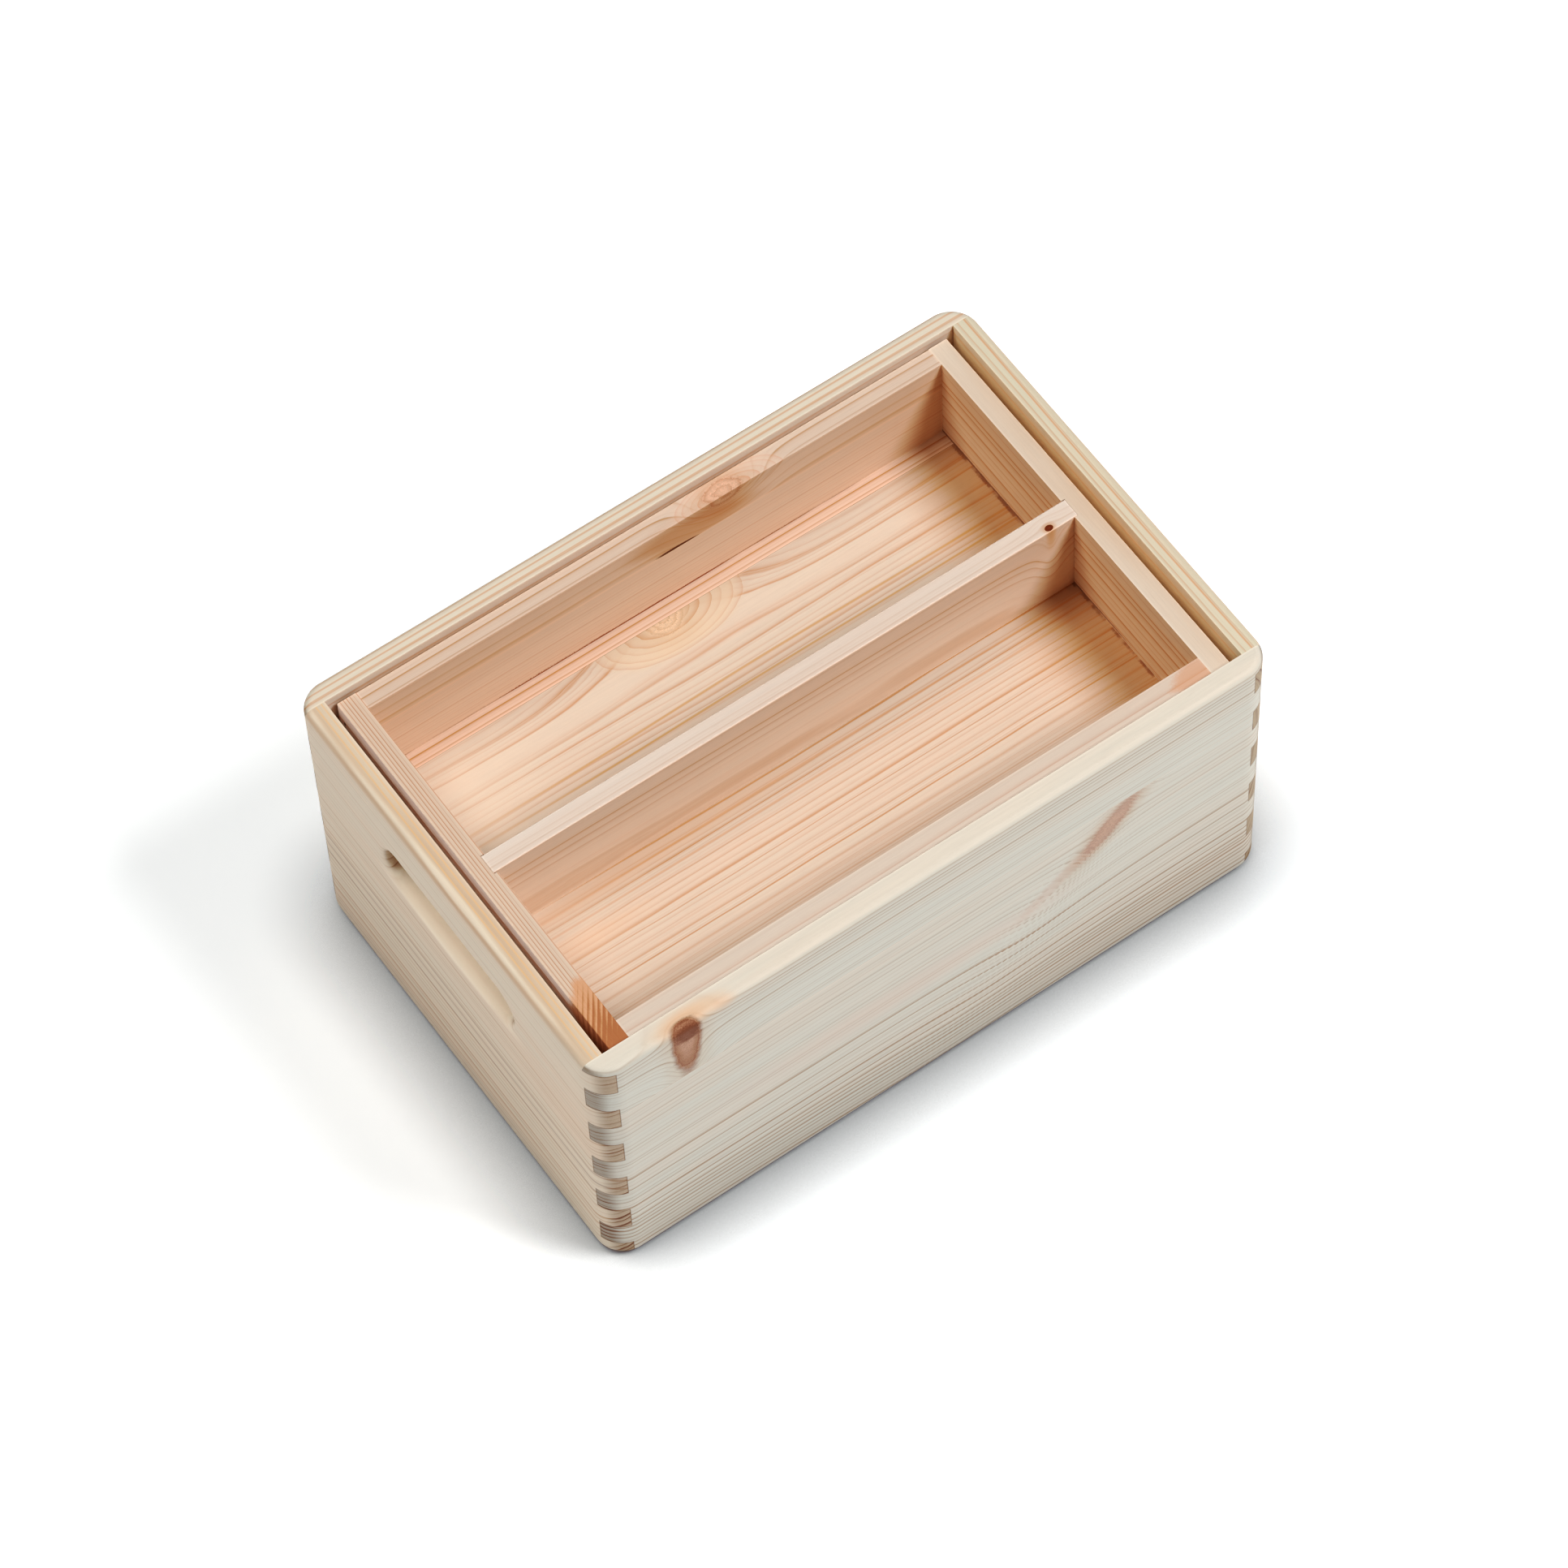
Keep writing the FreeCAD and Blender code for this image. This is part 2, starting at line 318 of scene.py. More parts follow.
class Board:
    """One board's wood. Lengths are millimetres in the CAD frame.

    pith is where the tree's centre line lies, on the two axes across the grain, and ring is the growth rings'
    spacing. faces holds (axis, side, tint) for single faces made lighter or darker: painted light and painted
    shade, for how the light falls on them. strength holds (place, share) pairs along strength_axis.
    """

    def __init__(self, grain, pith, ring, early, late, lines=0.6, wander=1.2, strength=(), strength_axis=Z,
                 features=(), end_shade=0.8, seed=0.0, blush_share=0.25, faces=(), fine=0.3, crisp=8.0):
        self.grain = grain
        self.pith = pith
        self.ring = ring
        self.early = early
        self.late = late
        self.lines = lines
        self.wander = wander
        self.strength = strength
        self.strength_axis = strength_axis
        self.features = features
        self.end_shade = end_shade
        self.seed = seed
        self.blush_share = blush_share
        self.faces = faces
        self.fine = fine
        self.crisp = crisp


class Wood:
    """The fields that a board's features are painted with: the point's coordinates, and four noises about 0.

    From the broadest to the finest, the noises are drift, ripple, fibre and grit.
    """

    def __init__(self, axes, drift, ripple, fibre, grit):
        self.axes = axes
        self.drift = drift
        self.ripple = ripple
        self.fibre = fibre
        self.grit = grit


def line_strength(g, board, axes):
    """How strong the growth lines are, from (place, strength) pairs along one axis."""
    low, high = board.strength[0][0], board.strength[-1][0]
    ramp = g.node("ShaderNodeValToRGB", {"Fac": (axes[board.strength_axis] - low) / (high - low)})
    stops = ramp.color_ramp.elements
    while len(stops) < len(board.strength):
        stops.new(0.5)
    for stop, (at, _) in zip(stops, board.strength):
        stop.position = (at - low) / (high - low)
    for stop, (_, share) in zip(stops, board.strength):
        stop.color = (share, share, share, 1.0)
    return Value(g, ramp.outputs["Color"])


def edge_distance(g, axes, box):
    """Millimetres from the nearest edge of the board's box: the middle one of the depths under its faces."""
    depths = []
    for value, low, high in zip(axes, *box):
        depths.append((high - low) / 2 / MM - abs(value - (high + low) / 2 / MM))
    nearer = g.math("MINIMUM", depths[X], depths[Y])
    further = g.math("MAXIMUM", depths[X], depths[Y])
    return g.math("MAXIMUM", nearer, g.math("MINIMUM", further, depths[Z]))


CALM_STRETCH = 0.09
THREAD_STRETCH = 0.035
DRIFT_SCALE = 0.04
RIPPLE_SCALE = 0.2
FIBRE_SCALE = 1.3
FLECK_SCALE = 3.1
GRIT_SCALE = 1.7
FIBRE_TINT = 0.14
FINE_PER_RING = 2.7
WOOD_BUMP = 0.12
WOOD_ROUGHNESS = 0.62
LATE_COVER = 1.5
BLUSH = srgb(228, 186, 158)
BARE_END = srgb(228, 216, 206)
BARE_RING = srgb(122, 84, 68)


def pine(name, board, box):
    g = Graph(name)
    coordinates = g.tree.nodes.new("ShaderNodeTexCoord")
    place = g.scaled(coordinates.outputs["Object"], 1 / MM)
    axes = g.split(place)
    normal = g.split(coordinates.outputs["Normal"])
    along = board.grain
    across = [axis for axis in (X, Y, Z) if axis != along]
    knots = [feature for feature in board.features if isinstance(feature, Knot)]

    # stretched copies of space, in which round noise becomes long fibres
    stretch = [1.0, 1.0, 1.0]
    stretch[along] = CALM_STRETCH
    calm = g.vector_math("MULTIPLY", place, tuple(stretch))
    calm = g.vector_math("ADD", calm, (board.seed * 17.0, board.seed * 31.0, board.seed * 11.0))
    stretch[along] = THREAD_STRETCH
    thready = g.vector_math("MULTIPLY", place, tuple(stretch))
    drift = g.noise(calm, DRIFT_SCALE, 1.0)
    ripple = g.noise(calm, RIPPLE_SCALE, 2.0)
    fibre = g.noise(thready, FIBRE_SCALE, 3.0, 0.65)
    grit = g.noise(place, GRIT_SCALE, 3.0, 0.7)
    wood = Wood(axes, drift, ripple, fibre, grit)

    # growth rings round the pith
    bent = place
    for knot in knots:
        bent = knot.bend(g, bent)
    parts = g.split(bent)
    offsets = []
    for axis, middle in zip(across, board.pith):
        offsets.append(parts[axis] - middle)
    radius = (offsets[0] * offsets[0] + offsets[1] * offsets[1]).function("SQRT")
    radius = radius + drift * board.wander * 3.0 + ripple * board.wander * 0.7
    for knot in knots:
        if knot.swell:
            radius = radius + knot.rise(g, place)
    turns = radius / board.ring
    turns = turns + g.noise_along(turns, 0.6) * 0.9 + board.seed
    ring = turns.function("FRACT")
    late = (ring ** board.crisp * 2.6 + ring * 0.08) * g.smooth(ring, 1.0, 0.86)
    late = late * (g.dice(turns.function("FLOOR")) * 1.15 + 0.15)
    close = turns * FINE_PER_RING
    fine = close.function("FRACT") ** 4.0 * (g.dice(close.function("FLOOR")) * board.fine)
    late = late + fine
    late = late * (drift * 0.9 + 1.0)
    if board.strength:
        late = late * line_strength(g, board, axes)

    # side grain
    colour = g.mix(g.smooth(drift + ripple * 0.5, -0.2, 0.28) * board.blush_share, board.early, BLUSH)
    colour = g.mix(late * (board.lines * LATE_COVER), colour, board.late)
    colour = g.scaled(colour, fibre * FIBRE_TINT + ripple * 0.05 + 1.0)
    fleck = g.smooth(g.noise(thready, FLECK_SCALE, 1.0), 0.2, 0.32)
    colour = g.scaled(colour, 1.0 - fleck * 0.09)
    # painted light and shade: single faces made lighter or darker for how the light falls on them
    for axis, side, tint in board.faces:
        facing = g.smooth(normal[axis] * side, 0.6, 0.9)
        colour = g.mix(facing, colour, g.vector_math("MULTIPLY", colour, tint))
    # edges made paler: a painted highlight where the edges catch the light, and wear
    highlight_and_wear = g.smooth(edge_distance(g, axes, box) + fibre * 0.5, 0.9, 0.2)
    colour = g.scaled(colour, highlight_and_wear * 0.1 + 1.0)

    # end grain: cut fibres drink the light, and the late wood stands out
    end = g.smooth(abs(normal[along]), 0.45, 0.85)
    bare = g.mix(late * LATE_COVER, g.mix(1.0, board.early, BARE_END, "MULTIPLY"), BARE_RING)
    bare = g.scaled(bare, (grit * 0.25 + 1.0) * board.end_shade)
    colour = g.mix(end, colour, bare)

    for feature in board.features:
        colour = feature.paint(g, place, colour, wood)

    roughness = WOOD_ROUGHNESS - late * 0.12 + fibre * 0.2
    height = late * 0.12 + fibre * 0.8 + grit * 0.15
    return g.finish(colour, roughness, height, WOOD_BUMP)


PLY_THICKNESS = 1.67
PLY_PALE = srgb(214, 186, 148)
PLY_DARK = srgb(150, 112, 78)


def plywood(name, early, late):
    """Rotary-cut veneer with broad figure, and dark cross plies on the panel's edge."""
    g = Graph(name)
    coordinates = g.tree.nodes.new("ShaderNodeTexCoord")
    place = g.scaled(coordinates.outputs["Object"], 1 / MM)
    axes = g.split(place)
    normal = g.split(coordinates.outputs["Normal"])
    calm = g.vector_math("MULTIPLY", place, (0.12, 1.0, 1.0))
    thready = g.vector_math("MULTIPLY", place, (0.03, 1.0, 1.0))
    figure = g.noise(calm, 0.03, 2.0) * 7.0 + g.noise(calm, 0.2, 2.0) * 0.5
    late_share = (figure.function("FRACT")) ** 2.0 * 0.55
    fibre = g.noise(thready, 1.4, 3.0, 0.6)
    colour = g.mix(late_share, early, late)
    colour = g.scaled(colour, fibre * 0.14 + 1.0)
    ply = g.smooth(((axes[Z] / PLY_THICKNESS).function("FRACT") - 0.5).function("ABSOLUTE"), 0.30, 0.36)
    edge_wood = g.mix(ply, PLY_PALE, PLY_DARK)
    colour = g.mix(g.smooth(abs(normal[Z]), 0.8, 0.4), colour, edge_wood)
    return g.finish(colour, 0.6 - late_share * 0.1, fibre + late_share * 0.4, 0.1)


BRAD_BRIGHT = srgb(168, 168, 166)
BRAD_DULL = srgb(128, 124, 118)


def brad_steel(name):
    """Drawn wire with fine scratches and dull smears."""
    g = Graph(name)
    coordinates = g.tree.nodes.new("ShaderNodeTexCoord")
    place = g.scaled(coordinates.outputs["Object"], 1 / MM)
    smear = g.noise(place, 1.5, 3.0, 0.7)
    scratch = g.noise(g.vector_math("MULTIPLY", place, (1.0, 6.0, 6.0)), 2.0, 2.0)
    colour = g.mix(g.smooth(smear, -0.15, 0.2), BRAD_BRIGHT, BRAD_DULL)
    return g.finish(colour, smear * 0.3 + 0.38, scratch, 0.02, 0.5, 1.0)


# --- the boards --------------------------------------------------------------------------------------------

CRATE_GREY = srgb(209, 206, 196)
CRATE_WARM = srgb(220, 206, 187)
CRATE_CREAM = srgb(222, 213, 196)
CRATE_TAN = srgb(216, 202, 178)
TRAY_PINK = srgb(236, 211, 190)
TRAY_PALE = srgb(234, 215, 198)
DIVIDER_PALE = srgb(242, 222, 204)
FLOOR_CREAM = srgb(224, 208, 188)
FLOOR_PINK = srgb(238, 216, 198)
LATE_GREY_TAN = srgb(166, 138, 112)
LATE_TAN = srgb(188, 148, 112)
LATE_ORANGE = srgb(206, 156, 116)
LATE_FLOOR = srgb(204, 154, 116)
LATE_PINK = srgb(206, 146, 112)
LATE_OCHRE = srgb(196, 152, 104)
LINE_YELLOW = srgb(226, 186, 132)
GLUE_DARK = srgb(140, 100, 72)
TORN_RED = srgb(140, 70, 56)
TORN_BROWN = srgb(120, 70, 44)
ORANGE_STAIN = srgb(226, 176, 132)

FRONT_GLUE_Z = 109.0
FLOOR_GLUE_Y = 73.0
TRAY_FLOOR_TOP = 93.5
TORN_Z = 93.7
FINGER_TOP = 139.0
FINGER = 12.9
INNER_X = 141.0
INNER_Y = 90.0
HAIR = 0.28


def growth_lines(axis, places, tint, share, width=0.7, wave=4.0, above=None):
    """Single strong growth lines along a board, at these places across it."""
    shape = dict(ragged=0.1, wave=wave, sharp=0.2, above=above)
    return tuple(Seam(axis, at, width, tint, share, **shape) for at in places)


def front_boards(joints):
    glue = Seam(Z, FRONT_GLUE_Z, 0.35, GLUE_DARK, 0.35)
    spike = Knot((-111.3, -99.0, 134.0), (6.4, 4.2, 23.0), srgb(182, 142, 120), srgb(132, 90, 70), reach=1.25,
                 halo_share=0.2, rings=1.2, bark=0.7, soft=0.4, rough=0.5)
    spike_top = Spot((-110.6, -99.0, 137.5), (5.2, 4.0, 5.0), srgb(104, 60, 44), 0.75, soft=0.8, rough=1.6)
    spike_glow = Spot((-108.5, -95.0, 142.5), (13.0, 4.0, 4.0), srgb(224, 180, 136), 0.5, soft=1.2)
    blush = Spot((-94.6, -98.0, 142.0), (5.0, 2.5, 3.0), srgb(224, 170, 122), 0.3, soft=1.3)
    streak = Knot((75.5, -99.0, 97.0), (18.0, 30.0, 5.2), srgb(190, 152, 132), srgb(160, 118, 98), turn=45.0,
                  halo=srgb(240, 222, 208), reach=1.2, rings=1.2, bark=0.25, share=0.8, soft=0.7, rough=0.5,
                  hatch=0.25)
    streak_tail = Spot((51.0, -99.0, 79.0), (19.0, 20.0, 3.6), srgb(200, 170, 154), 0.38, turn=33.0, soft=1.0,
                       hatch=0.3)
    rosy = Spot((-20.0, -99.0, 70.0), (70.0, 20.0, 7.0), srgb(214, 190, 176), 0.35, soft=1.2)
    return {
        "front_wall_upper_stave": Board(
            X, (-92.0, 20.0), 2.2, CRATE_GREY, LATE_GREY_TAN, 0.7, wander=0.8, seed=1.0, crisp=5.0,
            # painted light: the top face is made lighter and warmer
            faces=((Z, 1, (1.06, 1.04, 1.03)),),
            strength=((105, 0.3), (122, 0.4), (136, 0.9), (141, 0.3), (142, 0.1)), blush_share=0.1,
            features=(spike_glow, blush, spike, spike_top, glue, joints)),
        "front_wall_lower_stave": Board(
            X, (-70.0, 220.0), 2.7, CRATE_GREY, LATE_GREY_TAN, 0.75, wander=1.3, seed=2.0, blush_share=0.15,
            crisp=5.0, fine=0.4,
            strength=((0, 0.8), (40, 1.0), (58, 0.45), (109, 0.3)),
            features=(streak_tail, streak, rosy, joints)),
    }


def crate_boards():
    joints = FingerJoints(srgb(120, 90, 70), 0.55)
    # painted light: the slot's lower lip made paler, as if lit inside the slot
    slot_lip_painted_light = Spot((-145.5, 0.0, 95.0), (9.0, 46.0, 4.0), srgb(252, 238, 216), 0.75, soft=0.8)
    left_lines = growth_lines(X, (-142.2, -144.6), LINE_YELLOW, 0.55, 0.55, above=FINGER_TOP)
    end_lines = growth_lines(Z, (58.5, 52.0, 44.5), srgb(150, 112, 92), 0.5, 1.0, 9.0)
    right_lines = growth_lines(X, (145.8,), LATE_ORANGE, 0.75, 0.6, above=FINGER_TOP)
    back_lines = growth_lines(Y, (91.8, 94.3, 96.8), LATE_ORANGE, 0.6, 0.55, above=FINGER_TOP)
    return {
        **front_boards(joints),
        "back_wall": Board(
            X, (-10.0, 95.0), 3.2, CRATE_CREAM, LATE_ORANGE, 0.5, seed=3.0, fine=0.2,
            # painted shade on the top face, and painted light on the inner face
            faces=((Z, 1, (0.94, 0.95, 0.97)), (Y, -1, (1.2, 1.14, 1.18))), features=back_lines + (joints,)),
        "left_end": Board(
            Y, (-100.0, -40.0), 2.9, CRATE_WARM, LATE_TAN, 0.6, crisp=5.0, fine=0.2,
            strength=((0, 0.9), (55, 0.9), (95, 0.35), (130, 0.3), (142, 0.6)), seed=4.0, end_shade=0.9,
            # painted light on the top face and on the inner face
            faces=((Z, 1, (1.0, 1.08, 1.12)), (X, 1, (1.12, 1.22, 1.42))),
            features=left_lines + end_lines + (slot_lip_painted_light, joints)),
        "right_end": Board(
            Y, (40.0, 100.0), 3.6, CRATE_TAN, LATE_ORANGE, 0.5, seed=5.0,
            # painted light and shade: the top face is tinted cooler and the inner face made much lighter
            faces=((Z, 1, (0.92, 1.02, 1.08)), (X, -1, (1.36, 1.38, 1.42))),
            features=right_lines + (joints,)),
        "front_ledge": Board(X, (-60.0, 40.0), 2.2, CRATE_CREAM, LATE_TAN, 0.6, seed=6.0),
        "back_ledge": Board(X, (60.0, 40.0), 2.4, CRATE_CREAM, LATE_TAN, 0.6, seed=7.0),
    }


def tray_ends():
    torn = Seam(Z, TORN_Z, 1.7, TORN_BROWN, 0.75, ragged=1.6, patchy=True)
    patch = Spot((-124.0, -86.0, 138.5), (20.0, 28.0, 30.0), srgb(206, 156, 122), 0.9, soft=0.14, rough=0.4)
    streaks = Spot((-128.0, -90.0, 138.5), (16.0, 20.0, 30.0), srgb(158, 102, 74), 0.75, turn=35.0, about="Z",
                   soft=0.5, rough=0.8, hatch=0.9)
    return {
        "tray_left_end": Board(
            Y, (-30.0, 118.0), 1.35, TRAY_PINK, LATE_PINK, 0.7, wander=0.5, seed=8.0,
            # painted shade on the top face, and painted light on the outer face in the gap beside the crate's
            # end
            faces=((Z, 1, (0.78, 0.83, 0.85)), (X, -1, (1.14, 1.32, 1.58))),
            features=(patch, streaks, torn)),
        "tray_right_end": Board(
            Y, (128.0, -20.0), 5.2, TRAY_PINK, LATE_ORANGE, 0.7, wander=0.8, seed=9.3,
            # painted light and shade: the top face is tinted cooler and the outer face made lighter
            faces=((Z, 1, (0.85, 1.02, 1.15)), (X, 1, (1.1, 1.15, 1.2))), features=(torn,)),
    }


def tray_sides():
    torn = Seam(Z, TORN_Z, 1.0, TORN_RED, 0.8, ragged=1.6, patchy=True)
    corner_stain = Spot(
        (124.0, -86.0, 139.0), (11.0, 6.5, 8.0), srgb(204, 144, 104), 0.55, soft=0.5, rough=1.5)
    knot = Knot(
        (30.0, 81.0, 139.5), (8.0, 6.0, 7.0), srgb(216, 176, 150), srgb(184, 132, 104), reach=1.2, swell=14.0,
        spread=(16.0, 9.0, 12.0), halo=srgb(244, 222, 200), halo_share=0.5, rings=2.2, rough=1.6, bark=0.3,
        soft=0.4)
    eddy = Eddy(
        (32.0, 81.0, 140.0), (24.0, 9.0, 10.0), srgb(222, 196, 176), LATE_PINK, 7.0, 0.6, share=0.5)
    stain = Spot((16.0, 80.0, 129.0), (26.0, 4.0, 7.5), srgb(196, 134, 92), 0.5, turn=-8.0, soft=1.0)
    split = Spot((8.0, 80.0, 122.9), (9.0, 2.0, 0.9), srgb(74, 34, 18), 0.9, turn=-2.0, soft=0.5)
    return {
        "tray_front_side": Board(
            X, (-60.0, 90.0), 2.6, TRAY_PALE, LATE_PINK, 0.35, wander=0.6, seed=10.0,
            # painted shade: the top face is made darker
            faces=((Z, 1, (0.77, 0.81, 0.84)),), features=(corner_stain, torn)),
        "tray_back_side_upper_stave": Board(
            X, (40.0, 110.0), 3.6, TRAY_PINK, LATE_ORANGE, 0.6, wander=0.8, seed=11.0, fine=0.2,
            # painted shade: the top face is made darker
            faces=((Z, 1, (0.77, 0.81, 0.85)),), features=(eddy, stain, knot, split)),
        "tray_back_side_lower_stave": Board(
            X, (70.0, 10.0), 2.1, TRAY_PINK, LATE_PINK, 0.28, wander=0.6, seed=12.0, features=(torn,)),
    }


def tray_floor():
    knot = Knot(
        (-5.5, 74.0, 93.0), (8.0, 8.0, 30.0), srgb(222, 196, 168), srgb(194, 156, 122), reach=0.8, swell=7.0,
        spread=(40.0, 18.0, 60.0), halo=srgb(246, 226, 196), halo_share=0.3, rings=3.0, bark=0.1, rough=0.7,
        soft=0.6)
    eddy = Eddy(
        (-4.0, 74.0, 93.0), (32.0, 17.0, 60.0), srgb(214, 196, 174), srgb(192, 138, 98), 7.0, 0.65)
    band = Spot((-114.0, -25.0, TRAY_FLOOR_TOP), (32.0, 4.5, 9.0), ORANGE_STAIN, 0.2, soft=1.2)
    warm = Spot((-60.0, -8.0, TRAY_FLOOR_TOP), (70.0, 5.0, 9.0), ORANGE_STAIN, 0.25, soft=1.2)
    # painted shade: the floor made browner along the right end wall, where its shadow falls
    right_end_painted_shade = Spot((134.0, 0.0, TRAY_FLOOR_TOP), (30.0, 150.0, 9.0), srgb(196, 140, 88), 0.55, soft=1.3)
    # painted light: the floor made paler near the left end
    left_end_painted_light = Spot((-135.0, 30.0, TRAY_FLOOR_TOP), (50.0, 60.0, 9.0), srgb(236, 222, 204), 0.5, soft=1.5)
    torn = Seam(X, 128.4, 1.2, TORN_BROWN, 0.6, ragged=1.2, patchy=True)
    glue = Seam(Y, FLOOR_GLUE_Y, 0.3, GLUE_DARK, 0.5)
    lines = growth_lines(Y, (-9.8, -16.9), LATE_FLOOR, 0.45, 0.7)
    lines += growth_lines(Y, (25.5, 31.0, 37.5), LATE_OCHRE, 0.75, 0.8, 8.0)
    return {
        "tray_floor_main_stave": Board(
            X, (105.0, 25.0), 3.6, FLOOR_CREAM, LATE_FLOOR, 0.95, wander=1.7, seed=13.0, strength_axis=Y,
            # painted shade: the top face is made darker
            faces=((Z, 1, (0.86, 0.88, 0.93)),), fine=0.7, crisp=7.0,
            strength=((-81, 0.85), (-50, 0.6), (-30, 0.55), (5, 1.0), (35, 0.8), (45, 0.5), (73, 0.8)),
            features=lines + (left_end_painted_light, right_end_painted_shade, eddy, knot, band, warm, torn, glue)),
        "tray_floor_back_stave": Board(
            X, (-20.0, 60.0), 2.8, FLOOR_PINK, LATE_ORANGE, 0.7, wander=0.5, seed=14.0,
            # painted shade: the top face is made darker
            faces=((Z, 1, (0.93, 0.91, 0.91)),)),
    }


def divider_board():
    pin_knot = Knot(
        (118.0, -2.6, 138.5), (1.7, 1.3, 8.0), srgb(120, 62, 36), srgb(70, 36, 24), reach=3.0, rings=1.5)
    return {
        "divider": Board(
            X, (-60.0, 100.0), 2.8, DIVIDER_PALE, LATE_ORANGE, 0.4, wander=0.9, seed=15.0,
            # painted shade: the top face is made darker
            faces=((Z, 1, (0.8, 0.86, 0.93)),), features=(pin_knot,)),
    }


PANEL_EARLY = srgb(236, 214, 178)
PANEL_LATE = srgb(204, 166, 118)


def dress(nodes):
    """Gives every CAD node its material."""
    steel = brad_steel("brad_metal")
    finishes = {name: steel for name in ("ledge_brads", "tray_corner_brads", "tray_floor_brads")}
    finishes["bottom_panel"] = plywood("panel_veneer", PANEL_EARLY, PANEL_LATE)
    boards = {**crate_boards(), **tray_ends(), **tray_sides(), **tray_floor(), **divider_board()}
    for name, board in boards.items():
        finishes[name] = pine(name + "_wood", board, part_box(name))
    for name, node in nodes.items():
        node.data.materials.clear()
        node.data.materials.append(finishes[name])


# --- studio ------------------------------------------------------------------------------------------------

FLOOR_SIZE = 12.0
FLOOR_PAINT = srgb(244, 246, 248)
FLOOR_GLOW_TINT = (0.88, 0.95, 1.0, 1.0)
FLOOR_GLOW = 0.38
HORIZON_GLOW = 0.6
HORIZON_NEAR = 1.2
HORIZON_FAR = 3.5
# painted shade: how far round the crate, and how strongly, the floor's paint and glow are darkened
CONTACT_SHADOW_REACH = 0.035
CONTACT_SHADOW_DEPTH = 1.3
WORLD_STRENGTH = 0.05
PRINT_GAMMA = 0.87
# points of the red, green and blue curves, in linear light
SHADOW_CURVES = {
    0: ((0.12, 0.105), (0.25, 0.235), (0.4, 0.4), (0.6, 0.6)),
    1: ((0.1, 0.06), (0.19, 0.145), (0.29, 0.275), (0.38, 0.38), (0.6, 0.6)),
    2: ((0.05, 0.02), (0.11, 0.058), (0.19, 0.145), (0.26, 0.25), (0.35, 0.35), (0.6, 0.6)),
}


def floor():
    half = FLOOR_SIZE / 2
    mesh = bpy.data.meshes.new("studio_floor")
    corners = [(-half, -half, 0), (half, -half, 0), (half, half, 0), (-half, half, 0)]
    mesh.from_pydata(corners, [], [(0, 1, 2, 3)])
    made = bpy.data.objects.new("studio_floor", mesh)
    bpy.context.scene.collection.objects.link(made)
    g = Graph("studio_floor_glow")
    place = g.tree.nodes.new("ShaderNodeTexCoord").outputs["Object"]
    cloud = g.noise(place, 3.0, 2.0)
    # painted shade: ambient occlusion darkens the floor's paint and glow near the crate, a contact shadow
    contact_shadow = g.node("ShaderNodeAmbientOcclusion", {"Distance": CONTACT_SHADOW_REACH}, samples=6)
    open_share = Value(g, contact_shadow.outputs["AO"]) ** CONTACT_SHADOW_DEPTH
    paint = g.scaled(FLOOR_PAINT, (cloud * 0.01 + 1.0) * open_share)
    g.finish(paint, 0.9, cloud, 0.0, 0.1)
    shader = g.tree.nodes["Principled BSDF"]
    shader.inputs["Emission Color"].default_value = FLOOR_GLOW_TINT
    distance = g.length(place)
    glow = open_share * (g.smooth(distance, HORIZON_NEAR, HORIZON_FAR) * HORIZON_GLOW + FLOOR_GLOW)
    g.plug(glow, shader.inputs["Emission Strength"])
    mesh.materials.append(g.material)


def area_light(name, position, size, watts, colour):
    """A round softbox that faces the crate."""
    lamp = bpy.data.lights.new(name, "AREA")
    lamp.shape = "DISK"
    lamp.size = size
    lamp.energy = watts
    lamp.color = colour
    holder = bpy.data.objects.new(name, lamp)
    bpy.context.scene.collection.objects.link(holder)
    holder.location = position
    holder.rotation_euler = (-Vector(position)).to_track_quat("-Z", "Y").to_euler()
    holder.visible_camera = False


def warm_shadows(view):
    """Print curves that darken and warm the shadows only."""
    view.use_curve_mapping = True
    for channel, points in SHADOW_CURVES.items():
        curve = view.curve_mapping.curves[channel]
        for point in points:
            curve.points.new(*point)
    view.curve_mapping.update()


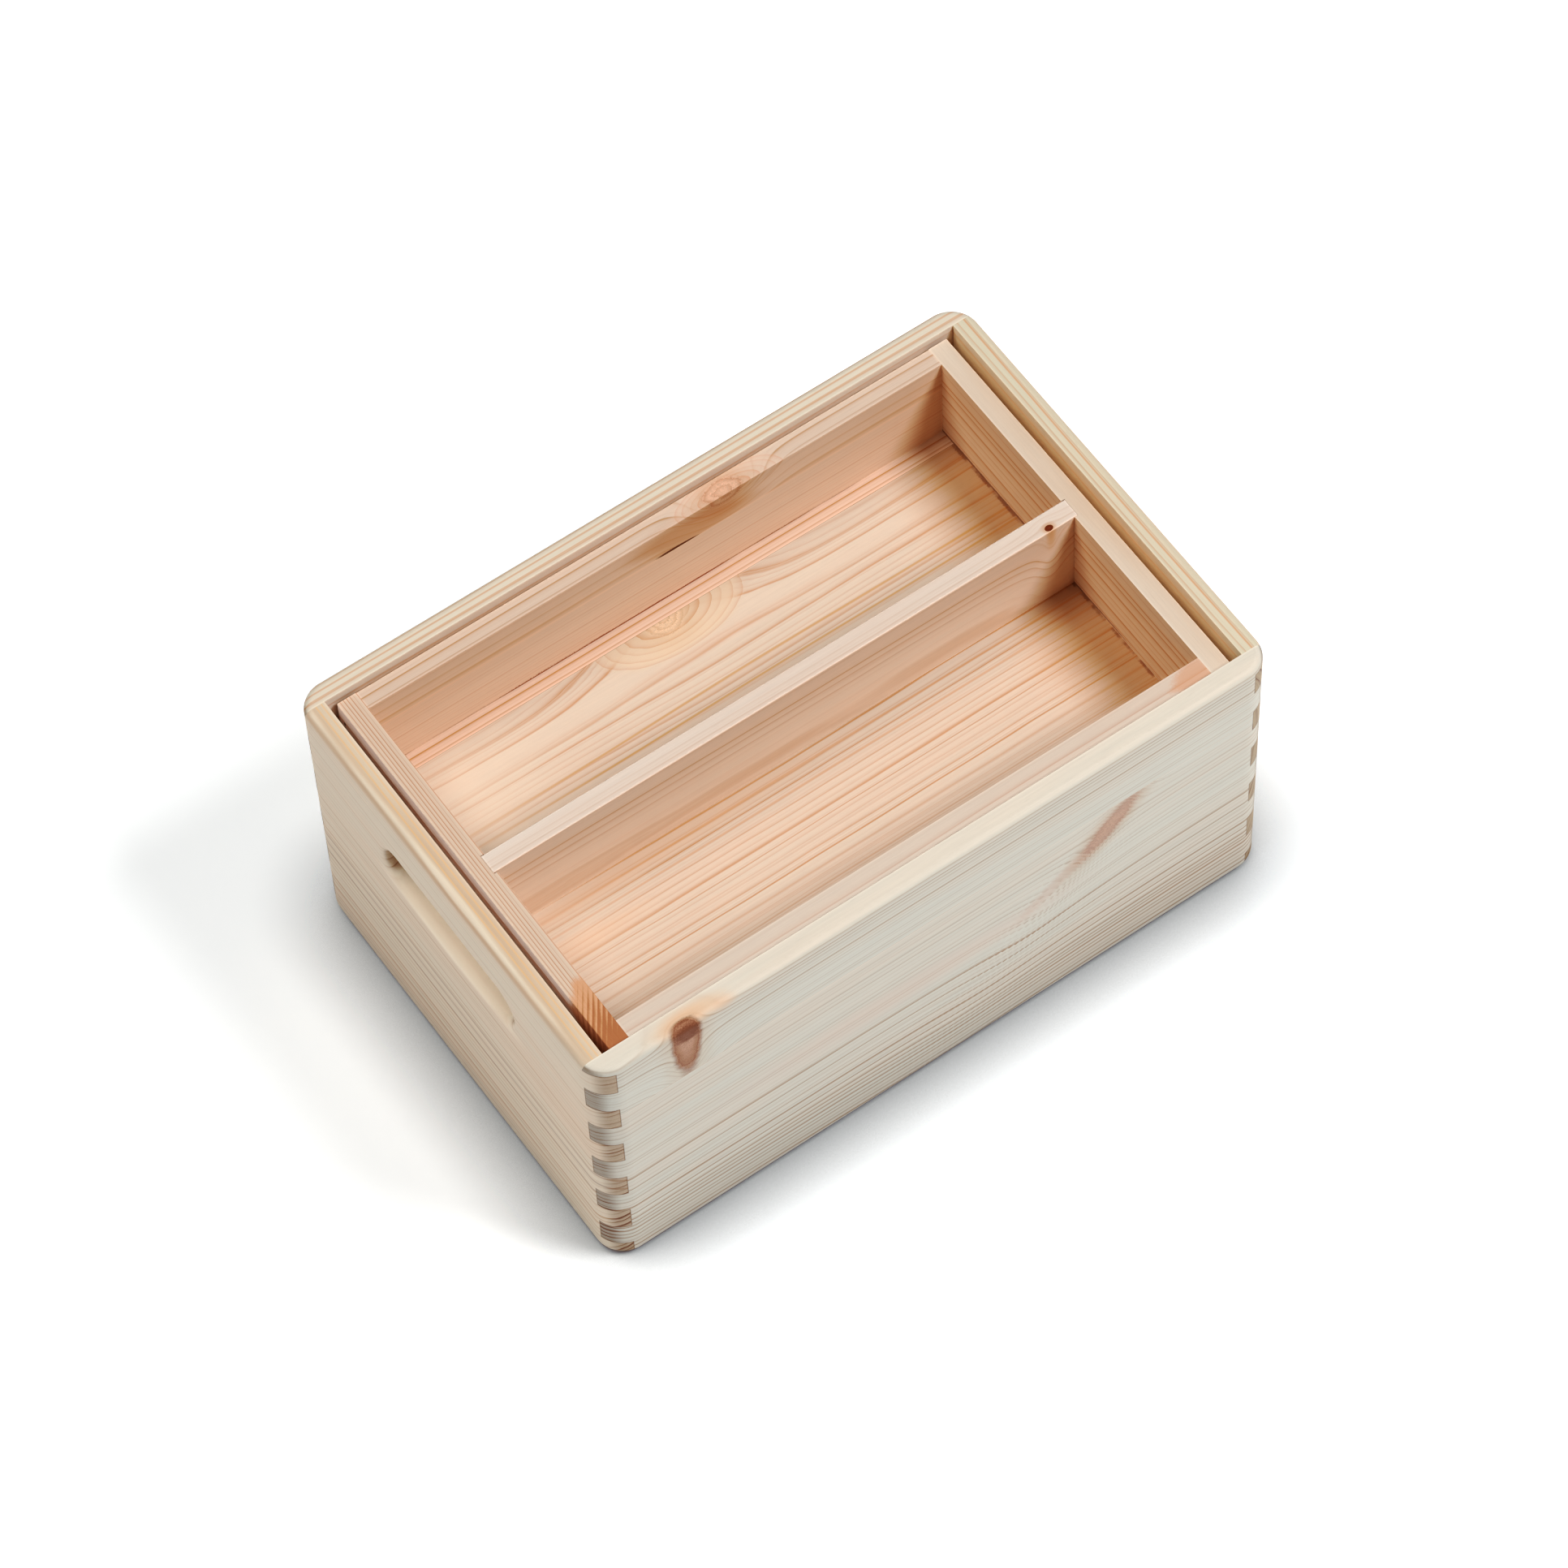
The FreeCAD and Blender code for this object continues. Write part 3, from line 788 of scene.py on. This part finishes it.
def studio():
    scene = bpy.context.scene
    scene.view_settings.view_transform = "Standard"
    scene.view_settings.look = "None"
    scene.view_settings.gamma = PRINT_GAMMA
    warm_shadows(scene.view_settings)
    world = bpy.data.worlds.new("studio_sky")
    world.use_nodes = True
    background = world.node_tree.nodes["Background"]
    background.inputs["Color"].default_value = (1.0, 1.0, 1.0, 1.0)
    background.inputs["Strength"].default_value = WORLD_STRENGTH
    scene.world = world
    area_light("key", (0.98, -1.05, 2.04), 0.9, 47.5, (1.0, 0.985, 0.965))
    area_light("top_fill", (-0.75, 0.5, 2.3), 1.1, 24.0, (1.0, 0.95, 0.88))
    area_light("left_fill", (-1.7, 0.1, 1.7), 1.4, 9.0, (1.0, 0.98, 0.95))


CAMERA_TARGET = Vector((-0.0025, -0.0006, 0.0699))
CAMERA_DISTANCE = 2.517
CAMERA_AZIMUTH = -32.24
CAMERA_ELEVATION = 59.17
CAMERA_ROLL = -3.22
CAMERA_LENS = 154.8
SENSOR = 36.0


def camera():
    azimuth, elevation = math.radians(CAMERA_AZIMUTH), math.radians(CAMERA_ELEVATION)
    back = Vector((
        math.sin(azimuth) * math.cos(elevation),
        -math.cos(azimuth) * math.cos(elevation),
        math.sin(elevation),
    ))
    data = bpy.data.cameras.new("photo_view")
    data.lens = CAMERA_LENS
    data.sensor_width = SENSOR
    made = bpy.data.objects.new("photo_view", data)
    bpy.context.scene.collection.objects.link(made)
    roll = Matrix.Rotation(math.radians(CAMERA_ROLL), 4, "Z")
    turn = (-back).to_track_quat("-Z", "Y").to_matrix().to_4x4() @ roll
    made.matrix_world = Matrix.Translation(CAMERA_TARGET + back * CAMERA_DISTANCE) @ turn
    bpy.context.scene.camera = made


# --- the scene ---------------------------------------------------------------------------------------------

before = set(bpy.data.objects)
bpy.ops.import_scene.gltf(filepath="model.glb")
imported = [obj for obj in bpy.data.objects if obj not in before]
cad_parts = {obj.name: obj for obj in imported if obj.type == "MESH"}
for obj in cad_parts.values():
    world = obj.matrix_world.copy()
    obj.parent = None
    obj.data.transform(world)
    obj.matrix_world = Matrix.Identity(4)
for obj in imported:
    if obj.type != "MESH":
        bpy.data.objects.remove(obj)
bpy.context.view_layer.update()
dress(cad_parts)
floor()
studio()
camera()
